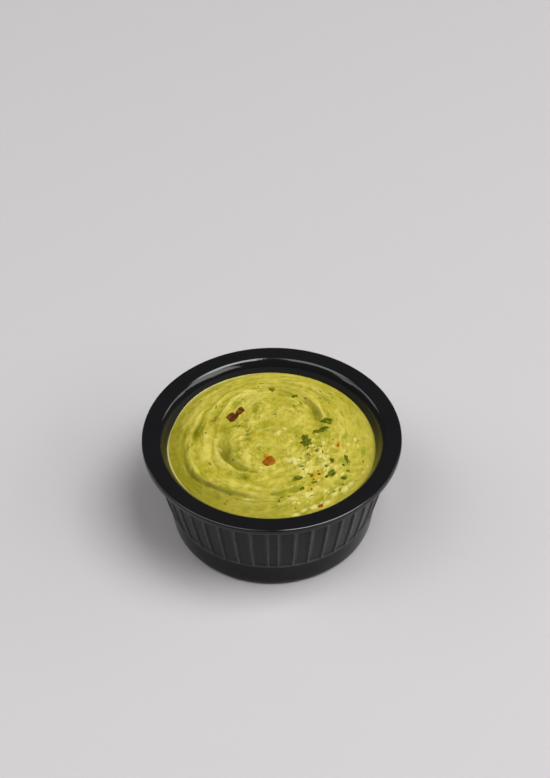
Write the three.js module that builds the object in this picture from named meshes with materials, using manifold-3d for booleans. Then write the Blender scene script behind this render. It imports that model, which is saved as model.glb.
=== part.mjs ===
// Guacamole in a small fluted ramekin, in millimetres, +Z up.
// The origin is on the table under the middle of the ramekin, and the front is towards -Y.
import * as THREE from 'three';
import { mergeVertices } from 'three/addons/utils/BufferGeometryUtils.js';
import Module from 'manifold-3d';

// Ramekin: one moulded piece with a flat rim, a fluted wall and a plain foot band.
const RAMEKIN_HEIGHT = 35;
const RIM_RADIUS = 41.25;
const RIM_EDGE_THICKNESS = 1.8;
const RIM_TOP_ROUND = 0.75;
const RIM_UNDER_ROUND = 0.2;
const RIM_FILLET = { reach: 0.35, drop: 0.55 };
const FOOT_RADIUS = 32.2;
const FOOT_ROUND = 1.8;
const FOOT_RING_WIDTH = 2.2;
const BASE_RECESS = 1.2;
const RECESS_SLOPE = 1.2;
const FLOOR_LEVEL = 3.6;
const BAND_LEVEL = 9.5;
const BAND_RADIUS = 33.6;

// Flutes: shallow upright hollows between narrow ridges, all alike but the one at the mould seam.
const FLUTE_COUNT = 45;
const FLUTE_DEPTH = 0.55;
const FLUTE_FLOOR_LEVEL = 10.9;
const FLUTE_TOP_LEVEL = 29.8;
const FLUTE_END_LEVEL = 31.3;
const RIDGE_TOP_RADIUS = 38.5;
const RIDGE_SWELL = 0.3;
const LEVEL_MARGIN = 0.1;
const SEAM_FLUTE_START = -2.4;
const SEAM_FLUTE_WIDTH = 4.9;
const FLUTE_WIDTH = (360 - SEAM_FLUTE_WIDTH) / (FLUTE_COUNT - 1);
// Across one flute, from ridge to ridge: share of its width, and share of its full depth.
const FLUTE_SECTION = [[0, 0], [0.18, 0.9], [0.5, 1], [0.82, 0.9]];

// Well: the inside of the ramekin, from the rounded lip down to the floor.
const LIP_RADIUS = 36.8;
const LIP_CURVE = [
  { radius: 35.9, level: 34.75 },
  { radius: 35.0, level: 33.95 },
  { radius: 34.2, level: 32.7 },
  { radius: 33.45, level: 31.1 },
];
const WELL_WALL_TOP = { radius: 32.8, level: 28.2 };
const WELL_WALL_FOOT = { radius: 29.0, level: 7.5 };
const WELL_CORNER = { radius: 27.6, level: 4.6 };
const WELL_FLOOR_RADIUS = 24.8;

// Guacamole: it fills the well, and its top was turned into a swirl with the back of a spoon.
const FIT_GAP = 0.3;
const FILL_LEVEL = 30.65;
const SURFACE_RADIUS = 33.42 - FIT_GAP;
const SURFACE_SEGMENTS = 84;
const SURFACE_SHARES = [
  0.09, 0.18, 0.27, 0.35, 0.42, 0.46, 0.49, 0.52, 0.55, 0.58, 0.61, 0.65,
  0.7, 0.735, 0.765, 0.79, 0.815, 0.84, 0.865, 0.91, 0.96, 1,
];
// At the wall it creeps up on the left, dips behind that, and rolls under on the right.
const WALL_CREEP = { rise: 0.45, width: 0.035, bearing: 160, spread: 75 };
const WALL_DIP = { drop: 1.1, width: 0.12, bearing: 165, spread: 17 };
const WALL_SHOULDER = { drop: 1.2, width: 0.11, bearing: 0, spread: 55 };

// The swirl's middle lies behind the ramekin's, and its rings are a little oval.
const SWIRL_MIDDLE = { x: 0.4, y: 5.7 };
const SWIRL_OVAL = 0.24;
const SWIRL_OVAL_BEARING = 72;

// The turned mass stands above a lower skirt along the wall, with a groove at its foot.
const MASS_RISE = { least: 0.3, most: 0.75, bearing: 218, spread: 42 };
const MASS_EDGE = 0.795;
const MASS_WIDTH = 0.055;
const MASS_SWAYS = [
  { amount: 0.08, bearing: 203, spread: 22 },
  { amount: -0.055, bearing: 258, spread: 26 },
  { amount: -0.02, bearing: 5, spread: 40 },
];
const GROOVE = { depth: 0.55, offset: 0.015, width: 0.018 };
// The spoon's last turn sank the middle, deepest in a pocket at the left, and raised a crest.
const BOWL_EDGE = 0.515;
const BOWL_WIDTH = 0.06;
const BOWL_SWAYS = [
  { amount: 0.1, bearing: 80, spread: 20 },
  { amount: 0.042, bearing: 210, spread: 20 },
  { amount: -0.045, bearing: 255, spread: 20 },
];
const BOWL_DEPTH = 0.3;
const BOWL_HOLLOWS = [
  { amount: 2.0, bearing: 209, spread: 22 },
  { amount: 1.0, bearing: 42, spread: 26 },
  { amount: 0.8, bearing: 130, spread: 26 },
];
const HOLLOW_POWER = 5;
const CREST = { rise: 0.24, offset: 0.04, width: 0.04 };
const HEART = { rise: 0.45, share: 0.5 };

// Bits lying in the top: share of the way to the wall, bearing, length, width and turn.
const BIT_SUNK = 0.2;
const CHILLI_THICKNESS = 1.0;
const CHILLI_BITS = [
  { share: 0.511, bearing: 147, length: 4.2, width: 2.6, turn: 48 },
  { share: 0.487, bearing: 133, length: 3.4, width: 2.2, turn: 52 },
  { share: 0.345, bearing: 264.5, length: 4.4, width: 3.4, turn: 40 },
];
const HERB_THICKNESS = 0.8;
const HERB_BITS = [
  { share: 0.386, bearing: 340, length: 5.4, width: 2.4, turn: 35 },
  { share: 0.51, bearing: 7, length: 4.8, width: 1.9, turn: 12 },
  { share: 0.572, bearing: 19, length: 3.4, width: 2.8, turn: 60 },
  { share: 0.602, bearing: 292, length: 2.9, width: 1.8, turn: 5 },
  { share: 0.722, bearing: 292, length: 1.7, width: 1.5, turn: 30 },
  { share: 0.76, bearing: 319.5, length: 2.7, width: 2.1, turn: 40 },
  { share: 0.858, bearing: 323.5, length: 1.9, width: 1.8, turn: 0 },
  { share: 0.522, bearing: 68, length: 2.2, width: 1.7, turn: 30 },
];

const wasm = await Module();
wasm.setup();

const radians = THREE.MathUtils.degToRad;
const degrees = THREE.MathUtils.radToDeg;

/** 0 below the edge, 1 above it, with a smooth climb of the given width round it. */
function climb(value, edge, width) {
  return THREE.MathUtils.smoothstep(value, edge - width / 2, edge + width / 2);
}

/** 1 at one bearing in degrees, fading evenly on both sides of it. */
function near(bearing, middle, spread) {
  const away = THREE.MathUtils.euclideanModulo(bearing - middle + 180, 360) - 180;
  return Math.exp(-((away / spread) ** 2));
}

/** A closed geometry turned about +Z from a profile of [radius, level] points. */
function turned(profile, segments) {
  const points = profile.map(([radius, level]) => new THREE.Vector2(radius, level));
  return new THREE.LatheGeometry(points, segments).rotateX(Math.PI / 2);
}

/** The same geometry with its doubled vertices joined and only positions left. */
function joined(geometry) {
  geometry.deleteAttribute('normal');
  geometry.deleteAttribute('uv');
  return mergeVertices(geometry, 1e-3);
}

/** Moves every vertex of a geometry to the point that move(x, y, z) gives. */
function reshaped(geometry, move) {
  const position = geometry.attributes.position;
  for (let i = 0; i < position.count; i++) {
    position.setXYZ(i, ...move(position.getX(i), position.getY(i), position.getZ(i)));
  }
  return geometry;
}

function solidOf(geometry) {
  return new wasm.Manifold(new wasm.Mesh({
    numProp: 3,
    vertProperties: new Float32Array(geometry.attributes.position.array),
    triVerts: new Uint32Array(geometry.index.array),
  }));
}

function geometryOf(solid) {
  const mesh = solid.getMesh();
  const geometry = new THREE.BufferGeometry();
  geometry.setAttribute('position', new THREE.BufferAttribute(mesh.vertProperties, 3));
  geometry.setIndex(new THREE.BufferAttribute(mesh.triVerts, 1));
  geometry.computeVertexNormals();
  return geometry;
}

function named(name, geometry, colour, roughness) {
  const material = new THREE.MeshStandardMaterial({ color: colour, roughness, metalness: 0 });
  const mesh = new THREE.Mesh(geometry, material);
  mesh.name = name;
  return mesh;
}

// ---------- Ramekin ----------

/** Radius of the ridges' crests at a level of the fluted wall. */
function ridgeRadius(level) {
  const climbed = (level - BAND_LEVEL) / (FLUTE_END_LEVEL - BAND_LEVEL);
  const straight = THREE.MathUtils.lerp(BAND_RADIUS, RIDGE_TOP_RADIUS, climbed);
  return straight + RIDGE_SWELL * 4 * climbed * (1 - climbed);
}

/** The ramekin's half section: underside, foot band, wall, rim, lip, well and floor. */
function ramekinProfile() {
  const rimUnder = RAMEKIN_HEIGHT - RIM_EDGE_THICKNESS;
  const footInner = FOOT_RADIUS - FOOT_ROUND - FOOT_RING_WIDTH;
  const footTop = THREE.MathUtils.lerp(FOOT_RADIUS, BAND_RADIUS, FOOT_ROUND / BAND_LEVEL);
  const wallLevels = [
    FLUTE_FLOOR_LEVEL,
    (FLUTE_FLOOR_LEVEL + FLUTE_TOP_LEVEL) / 2,
    FLUTE_TOP_LEVEL,
    FLUTE_END_LEVEL,
  ];
  const well = [...LIP_CURVE, WELL_WALL_TOP, WELL_WALL_FOOT, WELL_CORNER];
  return [
    [0, BASE_RECESS],
    [footInner - RECESS_SLOPE, BASE_RECESS],
    [footInner, 0],
    [FOOT_RADIUS - FOOT_ROUND, 0],
    [FOOT_RADIUS - FOOT_ROUND / 5, FOOT_ROUND / 4],
    [footTop, FOOT_ROUND],
    [BAND_RADIUS, BAND_LEVEL],
    ...wallLevels.map((level) => [ridgeRadius(level), level]),
    [RIDGE_TOP_RADIUS + RIM_FILLET.reach, rimUnder - RIM_FILLET.drop],
    [RIM_RADIUS - RIM_UNDER_ROUND, rimUnder],
    [RIM_RADIUS, rimUnder + RIM_UNDER_ROUND],
    [RIM_RADIUS, RAMEKIN_HEIGHT - RIM_TOP_ROUND],
    [RIM_RADIUS - RIM_TOP_ROUND, RAMEKIN_HEIGHT],
    [LIP_RADIUS, RAMEKIN_HEIGHT],
    ...well.map(({ radius, level }) => [radius, level]),
    [WELL_FLOOR_RADIUS, FLOOR_LEVEL],
    [0, FLOOR_LEVEL],
  ];
}

/** Bearing in degrees, from the front towards the right, at which a flute starts. */
function fluteStart(flute) {
  if (flute > 0) return SEAM_FLUTE_START + SEAM_FLUTE_WIDTH + (flute - 1) * FLUTE_WIDTH;
  return SEAM_FLUTE_START + flute * FLUTE_WIDTH;
}

/** Carries a turned vertex to its place on its flute, sunk by the flute's depth there. */
function fluted(x, y, z) {
  const perFlute = FLUTE_SECTION.length;
  const step = Math.round((Math.atan2(x, -y) / (2 * Math.PI)) * FLUTE_COUNT * perFlute);
  const flute = Math.floor(step / perFlute);
  const [widthShare, depthShare] = FLUTE_SECTION[step - flute * perFlute];
  const width = fluteStart(flute + 1) - fluteStart(flute);
  const bearing = radians(fluteStart(flute) + widthShare * width);
  const reach = Math.hypot(x, y);
  const outside = reach > ridgeRadius(z) - FLUTE_DEPTH / 2;
  const onWall = outside && z > BAND_LEVEL + LEVEL_MARGIN && z < FLUTE_END_LEVEL - LEVEL_MARGIN;
  const radius = reach - (onWall ? depthShare * FLUTE_DEPTH : 0);
  return [radius * Math.sin(bearing), -radius * Math.cos(bearing), z];
}

function ramekin() {
  const blank = turned(ramekinProfile(), FLUTE_COUNT * FLUTE_SECTION.length);
  const geometry = joined(reshaped(blank, fluted));
  geometry.computeVertexNormals();
  return named('ramekin', geometry, 0x17181a, 0.22);
}

// ---------- Guacamole ----------

/** A value that sways by some amounts, each round its own bearing. */
function swayed(base, sways, bearing) {
  return sways.reduce(
    (sum, sway) => sum + sway.amount * near(bearing, sway.bearing, sway.spread),
    base,
  );
}

/** A bell curve of the share round a middle. */
function bell(share, middle, width) {
  return Math.exp(-(((share - middle) / width) ** 2));
}

/** How far the top rolls under towards the wall, round one bearing. */
function edgeDrop({ drop, width, bearing: middle, spread }, share, bearing) {
  return drop * near(bearing, middle, spread) * Math.max(0, (share - 1) / width + 1) ** 2;
}

/** Level of the swirled top at a share of the way to the wall and a bearing in degrees. */
function surfaceLevel(share, bearing) {
  const massEdge = swayed(MASS_EDGE, MASS_SWAYS, bearing);
  const turnedHigh = near(bearing, MASS_RISE.bearing, MASS_RISE.spread);
  const massRise = MASS_RISE.least + MASS_RISE.most * turnedHigh;
  const mass = massRise * (1 - climb(share, massEdge, MASS_WIDTH));
  const groove = GROOVE.depth * turnedHigh * bell(share, massEdge + GROOVE.offset, GROOVE.width);

  const bowlEdge = swayed(BOWL_EDGE, BOWL_SWAYS, bearing);
  const hollows = swayed(0, BOWL_HOLLOWS, bearing);
  const reached = share / bowlEdge;
  const sunk = BOWL_DEPTH * reached ** 2 + hollows * reached ** HOLLOW_POWER;
  const bowl = sunk * (1 - climb(share, bowlEdge, BOWL_WIDTH));
  const crest = CREST.rise * (BOWL_DEPTH + hollows)
    * bell(share, bowlEdge + CREST.offset, CREST.width);
  const heart = HEART.rise * massRise * bell(share, 0, HEART.share);

  const creep = WALL_CREEP.rise * near(bearing, WALL_CREEP.bearing, WALL_CREEP.spread)
    * climb(share, 1 - WALL_CREEP.width / 2, WALL_CREEP.width);
  const drops = edgeDrop(WALL_DIP, share, bearing) + edgeDrop(WALL_SHOULDER, share, bearing);
  return FILL_LEVEL + mass - groove - bowl + crest + heart + creep - drops;
}

/** Radius of the well's wall at a level above the top of its straight part. */
function wellRadius(level) {
  const low = WELL_WALL_TOP;
  const high = LIP_CURVE.at(-1);
  return THREE.MathUtils.mapLinear(level, low.level, high.level, low.radius, high.radius);
}

/** Point of the swirled top at a share of the way to the wall and a bearing. */
function surfacePoint(share, bearing) {
  const oval = Math.cos(radians(2 * (bearing - SWIRL_OVAL_BEARING)));
  const radius = SURFACE_RADIUS * share * (1 + SWIRL_OVAL * (1 - share) * oval);
  const shift = 1 - share ** 2;
  const x = SWIRL_MIDDLE.x * shift + radius * Math.cos(radians(bearing));
  const y = SWIRL_MIDDLE.y * shift + radius * Math.sin(radians(bearing));
  const level = surfaceLevel(share, bearing);
  const kept = Math.min(1, (wellRadius(level) - FIT_GAP) / Math.hypot(x, y));
  return [x * kept, y * kept, level];
}

/** The filling's half section: under the top it follows the well with the fit gap. */
function fillingProfile() {
  return [
    [0, FLOOR_LEVEL + FIT_GAP],
    [WELL_FLOOR_RADIUS - FIT_GAP, FLOOR_LEVEL + FIT_GAP],
    [WELL_CORNER.radius - FIT_GAP, WELL_CORNER.level + FIT_GAP],
    [WELL_WALL_FOOT.radius - FIT_GAP, WELL_WALL_FOOT.level],
    [WELL_WALL_TOP.radius - FIT_GAP, WELL_WALL_TOP.level],
    ...SURFACE_SHARES.toReversed().map((share) => [SURFACE_RADIUS * share, FILL_LEVEL]),
    [0, FILL_LEVEL],
  ];
}

function filling() {
  const swirled = (x, y, z) => {
    if (z < FILL_LEVEL - LEVEL_MARGIN) return [x, y, z];
    return surfacePoint(Math.hypot(x, y) / SURFACE_RADIUS, degrees(Math.atan2(y, x)));
  };
  return joined(reshaped(turned(fillingProfile(), SURFACE_SEGMENTS), swirled));
}

/** One flat faceted bit, sunk into the top where it lies. */
function bit({ share, bearing, length, width, turn }, thickness) {
  const [x, y, z] = surfacePoint(share, bearing);
  const geometry = new THREE.IcosahedronGeometry(0.5, 0);
  geometry.scale(length, width, thickness);
  geometry.rotateZ(radians(turn));
  geometry.translate(x, y, z - BIT_SUNK);
  return solidOf(joined(geometry));
}

function guacamole() {
  const bits = [
    ...CHILLI_BITS.map((place) => bit(place, CHILLI_THICKNESS)),
    ...HERB_BITS.map((place) => bit(place, HERB_THICKNESS)),
  ];
  const whole = bits.reduce((body, piece) => body.add(piece), solidOf(filling()));
  return named('guacamole', geometryOf(whole), 0xb3aa2c, 0.5);
}

const dish = new THREE.Group();
dish.add(ramekin(), guacamole());

export default dish;
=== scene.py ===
"""Guacamole in a small black fluted ramekin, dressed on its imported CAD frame.

Shapes are worked out in millimetres, and each mesh is written in metres.
"""

import bpy
import numpy as np
from mathutils import Matrix, Vector


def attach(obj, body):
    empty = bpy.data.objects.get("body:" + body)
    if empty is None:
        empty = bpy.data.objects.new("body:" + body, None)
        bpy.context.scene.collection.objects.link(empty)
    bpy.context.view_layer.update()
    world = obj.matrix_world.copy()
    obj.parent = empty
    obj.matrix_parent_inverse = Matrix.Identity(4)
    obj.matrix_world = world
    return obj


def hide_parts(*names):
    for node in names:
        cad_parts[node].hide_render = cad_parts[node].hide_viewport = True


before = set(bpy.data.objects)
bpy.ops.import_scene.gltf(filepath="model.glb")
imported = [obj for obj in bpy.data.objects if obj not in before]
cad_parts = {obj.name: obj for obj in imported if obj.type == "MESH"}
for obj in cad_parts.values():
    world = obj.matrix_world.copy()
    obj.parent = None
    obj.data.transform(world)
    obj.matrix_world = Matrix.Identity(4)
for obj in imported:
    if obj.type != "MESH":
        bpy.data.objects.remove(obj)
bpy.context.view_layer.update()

# ---------- Ramekin ----------
# One piece of black melamine, pressed in a polished steel mould: a flat rim with a rounded edge,
# a wall of 45 shallow flutes between narrow ridges, a plain foot band and a smooth, tapered well.

MILLIMETRE = 0.001
RAMEKIN_HEIGHT = 35.0
RIM_RADIUS = 41.25
RIM_EDGE_THICKNESS = 1.8
RIM_UNDER_DROP = 0.4
RIM_TOP_ROUND = 0.75
RIM_UNDER_ROUND = 0.2
RIM_FILLET = 0.6
RIM_FILLET_REACH = 0.2
FOOT_RADIUS = 32.2
FOOT_ROUND = 1.8
FOOT_RING_WIDTH = 2.2
FOOT_INNER_ROUND = 0.5
BASE_RECESS = 1.2
RECESS_SLOPE = 1.2
RECESS_ROUND = 0.8
FLOOR_LEVEL = 3.6
BAND_LEVEL = 9.5
BAND_RADIUS = 33.6
BAND_SWELL = 0.1
BAND_SWELL_ROUND = 1.5
BAND_TOP_ROUND = 0.15
LIP_CURVE = ((35.95, 35.0, 0.87), (34.75, 33.75, 0.86), (33.75, 32.1, 0.95), (33.1, 30.2, 0.95))
WELL_WALL_TOP = (32.5, 26.5)
WELL_WALL_FOOT = (29.0, 7.5)
WELL_WALL_ROUND = 1.5
WELL_FLOOR_RADIUS = 24.8
FLOOR_CORNER_REACH, FLOOR_CORNER_ROUND = 2.6, 2.4
INNERMOST_RADIUS = 8.0
FOOT_ROUND_STEPS, RIM_ROUND_STEPS = 5, 6

FLUTE_COUNT = 45
BEAD_RISE = 0.45
BEAD_SHARE = 0.36
PANEL_HOLLOW = 0.1
FLUTE_END_LEVEL = 31.3
FLUTE_END_MARGIN = 0.1
FLUTE_ARCH_DROP = 1.5
FLUTE_FADE = 1.1
FLUTE_LEDGE = 1.4
FLUTE_LEDGE_LEVEL = 10.2
FLUTE_CORNER_RISE = 0.35
RIDGE_TOP_RADIUS = 38.5
RIDGE_SWELL = 0.3
SEAM_FLUTE_START = -2.4
SEAM_FLUTE_WIDTH = 4.9
FLUTE_WIDTH = (360 - SEAM_FLUTE_WIDTH) / (FLUTE_COUNT - 1)
STEPS_PER_FLUTE = 18
RIDGE_CROWDING = 0.6
POLES = 2
WALL_MARGIN = 0.3
# Levels of the wall's rings, closest at the ledge and the arches: start, end and step there, and
# start, end and count on the panels between.
LEDGE_LEVELS = (9.6, 11.3, 0.14)
PANEL_LEVELS = (11.6, 27.0, 7)
ARCH_LEVELS = (27.6, 31.4, 0.34)

FLUTED_FINISH_LEVEL, FLUTED_FINISH_MARGIN = 32.6, 1
POLISHED = {"polish": 0.08, "specular": 0.4}
FLUTED = {"polish": 0.2, "specular": 0.1, "bare": 2.3}
MELAMINE_BLACK = (0.0035, 0.0035, 0.0040, 1)
MELAMINE_WORN = (0.0060, 0.0060, 0.0065, 1)
# Light grey painted on the beads' crests and along the ledge under the panels: a painted highlight.
MELAMINE_PAINTED_HIGHLIGHT = (0.062, 0.062, 0.063, 1)
HIGHLIGHT_SHARE = 0.13
HIGHLIGHT_LEDGE, HIGHLIGHT_LEDGE_DROP, HIGHLIGHT_LEDGE_FADE = 0.5, 0.1, 0.6
# Textures: scales of noise, the roughness that handling adds, and depths of bumps in metres.
HANDLED_SCALE, HANDLED_ROUGHER, HIGHLIGHT_BREAK_SCALE = 55, 0.06, 240
PEEL_SCALE, PEEL_DEPTH = 420, 0.00003
GRAIN_SCALE, GRAIN_DEPTH = 2600, 0.00001


def climb(value, edge, width):
    """0 below the edge and 1 above it, along the smoothstep curve over the width round the edge."""
    t = np.clip((value - edge) / width + 0.5, 0, 1)
    return t * t * (3 - 2 * t)


def bell(away, width):
    """1 at 0, fading on both sides along a bell curve of the width."""
    return np.exp(-((away / width) ** 2))


def rounded(corners, steps):
    """A half section through corners given as (radius, level, round).

    A corner with a round is replaced by the parabola that touches both of its sides at that
    distance from it; a corner whose round is 0 is kept as one point.
    """
    points = np.array([corner[:2] for corner in corners], float)
    curve = []
    for i, (_, _, cut) in enumerate(corners):
        if cut == 0:
            curve.append(points[i][None])
            continue
        back, onward = points[i - 1] - points[i], points[i + 1] - points[i]
        start = points[i] + cut * back / np.linalg.norm(back)
        end = points[i] + cut * onward / np.linalg.norm(onward)
        t = np.linspace(0, 1, steps)[:, None]
        curve.append((1 - t) ** 2 * start + 2 * t * (1 - t) * points[i] + t**2 * end)
    return np.vstack(curve)


def ridge_radius(level):
    """The straight line from the band to the ridges' top, swelled by a parabola between them."""
    climbed = (level - BAND_LEVEL) / (FLUTE_END_LEVEL - BAND_LEVEL)
    straight = BAND_RADIUS + (RIDGE_TOP_RADIUS - BAND_RADIUS) * climbed
    return straight + RIDGE_SWELL * 4 * climbed * (1 - climbed)


def ramekin_section():
    """The half section from the underside round the foot, wall, rim, lip and well to the floor."""
    foot_inner = FOOT_RADIUS - FOOT_ROUND - FOOT_RING_WIDTH
    under = rounded([
        (INNERMOST_RADIUS, BASE_RECESS, 0),
        (foot_inner - RECESS_SLOPE, BASE_RECESS, RECESS_ROUND),
        (foot_inner, 0, FOOT_INNER_ROUND),
        (FOOT_RADIUS, 0, FOOT_ROUND),
        ((FOOT_RADIUS + BAND_RADIUS) / 2 + BAND_SWELL, BAND_LEVEL / 2, BAND_SWELL_ROUND),
        (BAND_RADIUS, BAND_LEVEL, BAND_TOP_ROUND),
        (ridge_radius(BAND_LEVEL + 1), BAND_LEVEL + 1, 0),
    ], FOOT_ROUND_STEPS)[:-1]
    levels = np.concatenate([
        np.arange(*LEDGE_LEVELS), np.linspace(*PANEL_LEVELS), np.arange(*ARCH_LEVELS),
    ])
    wall = np.column_stack([ridge_radius(levels), levels])
    rim_under = RAMEKIN_HEIGHT - RIM_EDGE_THICKNESS
    upper = rounded([
        (ridge_radius(FLUTE_END_LEVEL), FLUTE_END_LEVEL, 0),
        (RIDGE_TOP_RADIUS + RIM_FILLET_REACH, rim_under - RIM_UNDER_DROP, RIM_FILLET),
        (RIM_RADIUS, rim_under, RIM_UNDER_ROUND),
        (RIM_RADIUS, RAMEKIN_HEIGHT, RIM_TOP_ROUND),
        *LIP_CURVE,
        (*WELL_WALL_TOP, WELL_WALL_ROUND),
        (*WELL_WALL_FOOT, WELL_WALL_ROUND),
        (WELL_FLOOR_RADIUS + FLOOR_CORNER_REACH, FLOOR_LEVEL, FLOOR_CORNER_ROUND),
        (INNERMOST_RADIUS, FLOOR_LEVEL, 0),
    ], RIM_ROUND_STEPS)[1:]
    return np.vstack([under, wall, upper])


def flute_depth(across, level):
    """How far the wall sinks at a share of the way across a flute and a level.

    A round bead stands on each ridge, with the section of a parabola, and a flatter parabola
    hollows the panel between two of them. The panel stops on a small ledge at the band, and fades
    below the rim along an arch.
    """
    aside = np.abs(2 * across - 1)
    off_ridge = np.clip((1 - aside) / BEAD_SHARE, 0, 1)
    panel = BEAD_RISE * off_ridge**2 + PANEL_HOLLOW * (1 - aside**2)
    arch = (FLUTE_END_LEVEL - FLUTE_FADE / 2 - FLUTE_END_MARGIN
            - FLUTE_ARCH_DROP * aside**3)
    ledge = FLUTE_LEDGE_LEVEL + FLUTE_CORNER_RISE * aside**4
    return panel * climb(level, ledge, FLUTE_LEDGE) * (1 - climb(level, arch, FLUTE_FADE))


def painted_highlight_lines(across, level):
    """Painted highlight: 1 on the beads' crests and along the ledge under the panels, 0 away from
    both.
    """
    aside = np.abs(2 * across - 1)
    crest = climb(aside, 1 - HIGHLIGHT_SHARE, HIGHLIGHT_SHARE)
    arch = FLUTE_END_LEVEL - FLUTE_ARCH_DROP * aside**3
    between = (climb(level, FLUTE_LEDGE_LEVEL, HIGHLIGHT_LEDGE_FADE)
               * (1 - climb(level, arch, FLUTE_FADE)))
    ledge_level = FLUTE_LEDGE_LEVEL + FLUTE_CORNER_RISE * aside**4 - HIGHLIGHT_LEDGE_DROP
    ledge = bell(level - ledge_level, HIGHLIGHT_LEDGE)
    return np.maximum(crest * between, ledge)


def ramekin_rings():
    """Rings of points: the half section turned about the axis, less the depth of the flutes, and
    how much painted highlight each point gets. Bearings run from the front towards the right,
    closer together at the ridges.
    """
    even = np.arange(STEPS_PER_FLUTE) / STEPS_PER_FLUTE
    across = (1 - RIDGE_CROWDING) * even + RIDGE_CROWDING * (0.5 - 0.5 * np.cos(np.pi * even))
    flutes = np.arange(FLUTE_COUNT)
    past_seam = SEAM_FLUTE_WIDTH + (flutes - 1) * FLUTE_WIDTH
    start = SEAM_FLUTE_START + np.where(flutes > 0, past_seam, 0)
    width = np.where(flutes > 0, FLUTE_WIDTH, SEAM_FLUTE_WIDTH)
    bearing = np.radians(start[:, None] + width[:, None] * across[None]).ravel()
    radius, level = ramekin_section().T
    outside = radius > ridge_radius(level) - WALL_MARGIN
    on_wall = (outside & (level > BAND_LEVEL) & (level <= FLUTE_END_LEVEL))[:, None]
    places = np.tile(across, FLUTE_COUNT)[None], level[:, None]
    reach = radius[:, None] - flute_depth(*places) * on_wall
    heights = np.broadcast_to(level[:, None], reach.shape)
    rings = np.stack([reach * np.sin(bearing), -reach * np.cos(bearing), heights], -1)
    return rings, painted_highlight_lines(*places) * on_wall


def closed_skins(name, rings, first, last):
    """One mesh of closed skins, from points in millimetres with the shape (skin, ring, column, 3).

    Quads join each ring to the next one, and fans close the first and last rings on their poles.
    Faces point outward where the rings climb and their columns run anticlockwise from above.
    """
    skins, rows, columns = rings.shape[:3]
    grid = rings.reshape(skins, rows * columns, 3)
    points = np.concatenate([grid, first[:, None], last[:, None]], 1)
    row = np.arange(rows - 1)[:, None] * columns
    column = np.arange(columns)
    following = (column + 1) % columns
    above = row + columns
    quads = np.stack([row + column, row + following, above + following, above + column], -1)
    low_pole, high_pole, top = rows * columns, rows * columns + 1, (rows - 1) * columns
    low = np.stack([np.full(columns, low_pole), following, column], -1)
    high = np.stack([top + column, top + following, np.full(columns, high_pole)], -1)
    offsets = np.arange(skins)[:, None, None] * points.shape[1]
    faces = (quads.reshape(1, -1, 4) + offsets).reshape(-1, 4).tolist()
    faces += (np.concatenate([low, high])[None] + offsets).reshape(-1, 3).tolist()
    mesh = bpy.data.meshes.new(name)
    mesh.from_pydata(points.reshape(-1, 3) * MILLIMETRE, [], faces)
    mesh.shade_smooth()
    piece = bpy.data.objects.new(name, mesh)
    bpy.context.scene.collection.objects.link(piece)
    return piece


class Finish:
    """A node material under construction: each call adds a node and wires its inputs."""

    def __init__(self, name):
        self.material = bpy.data.materials.new(name)
        self.material.use_nodes = True
        self.nodes = self.material.node_tree.nodes
        self.links = self.material.node_tree.links
        self.shader = self.nodes["Principled BSDF"]

    def plug(self, value, socket):
        """Links a node's output to the socket, or sets the socket to a plain value."""
        if isinstance(value, bpy.types.NodeSocket):
            self.links.new(value, socket)
        else:
            socket.default_value = value

    def wire(self, node, inputs):
        for name, value in inputs.items():
            self.plug(value, node.inputs[name])

    def node(self, kind, settings=None, **inputs):
        node = self.nodes.new(kind)
        for name, value in (settings or {}).items():
            setattr(node, name, value)
        self.wire(node, {key.replace("_", " "): value for key, value in inputs.items()})
        return node

    def place(self):
        return self.node("ShaderNodeTexCoord").outputs["Object"]

    def noise(self, scale, detail=3, roughness=0.6, vector=None):
        return self.node("ShaderNodeTexNoise", Vector=vector or self.place(), Scale=scale,
                         Detail=detail, Roughness=roughness).outputs["Fac"]

    def ramp(self, value, *stops):
        """A grey that runs between two stops, each given as (value, grey)."""
        node = self.node("ShaderNodeValToRGB", Fac=value)
        for element, (position, grey) in zip(node.color_ramp.elements, stops):
            element.position = position
            element.color = (grey, grey, grey, 1)
        return node.outputs["Color"]

    def math(self, operation, first, second, clamp=False):
        node = self.nodes.new("ShaderNodeMath")
        node.operation, node.use_clamp = operation, clamp
        for value, socket in zip((first, second), node.inputs):
            self.plug(value, socket)
        return node.outputs[0]

    def mix(self, share, first, second):
        node = self.nodes.new("ShaderNodeMix")
        node.data_type = "RGBA"
        colours = [socket for socket in node.inputs if socket.type == "RGBA"]
        for value, socket in zip((share, first, second), (node.inputs[0], *colours)):
            self.plug(value, socket)
        return next(socket for socket in node.outputs if socket.type == "RGBA")

    def attribute(self, name, output="Fac"):
        return self.node("ShaderNodeAttribute", {"attribute_name": name}).outputs[output]

    def bump(self, height, distance, strength, under=None):
        node = self.node("ShaderNodeBump", Height=height, Distance=distance, Strength=strength)
        if under is not None:
            self.links.new(under, node.inputs["Normal"])
        return node.outputs["Normal"]


def point_attribute(piece, name, values, before=0, after=0):
    """Stores one number for each point of a skin: the grid's values, and zeros round them."""
    whole = np.concatenate([np.zeros(before), values.ravel(), np.zeros(after)])
    layer = piece.data.attributes.new(name, "FLOAT", "POINT")
    layer.data.foreach_set("value", whole.astype(np.float32))


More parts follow.
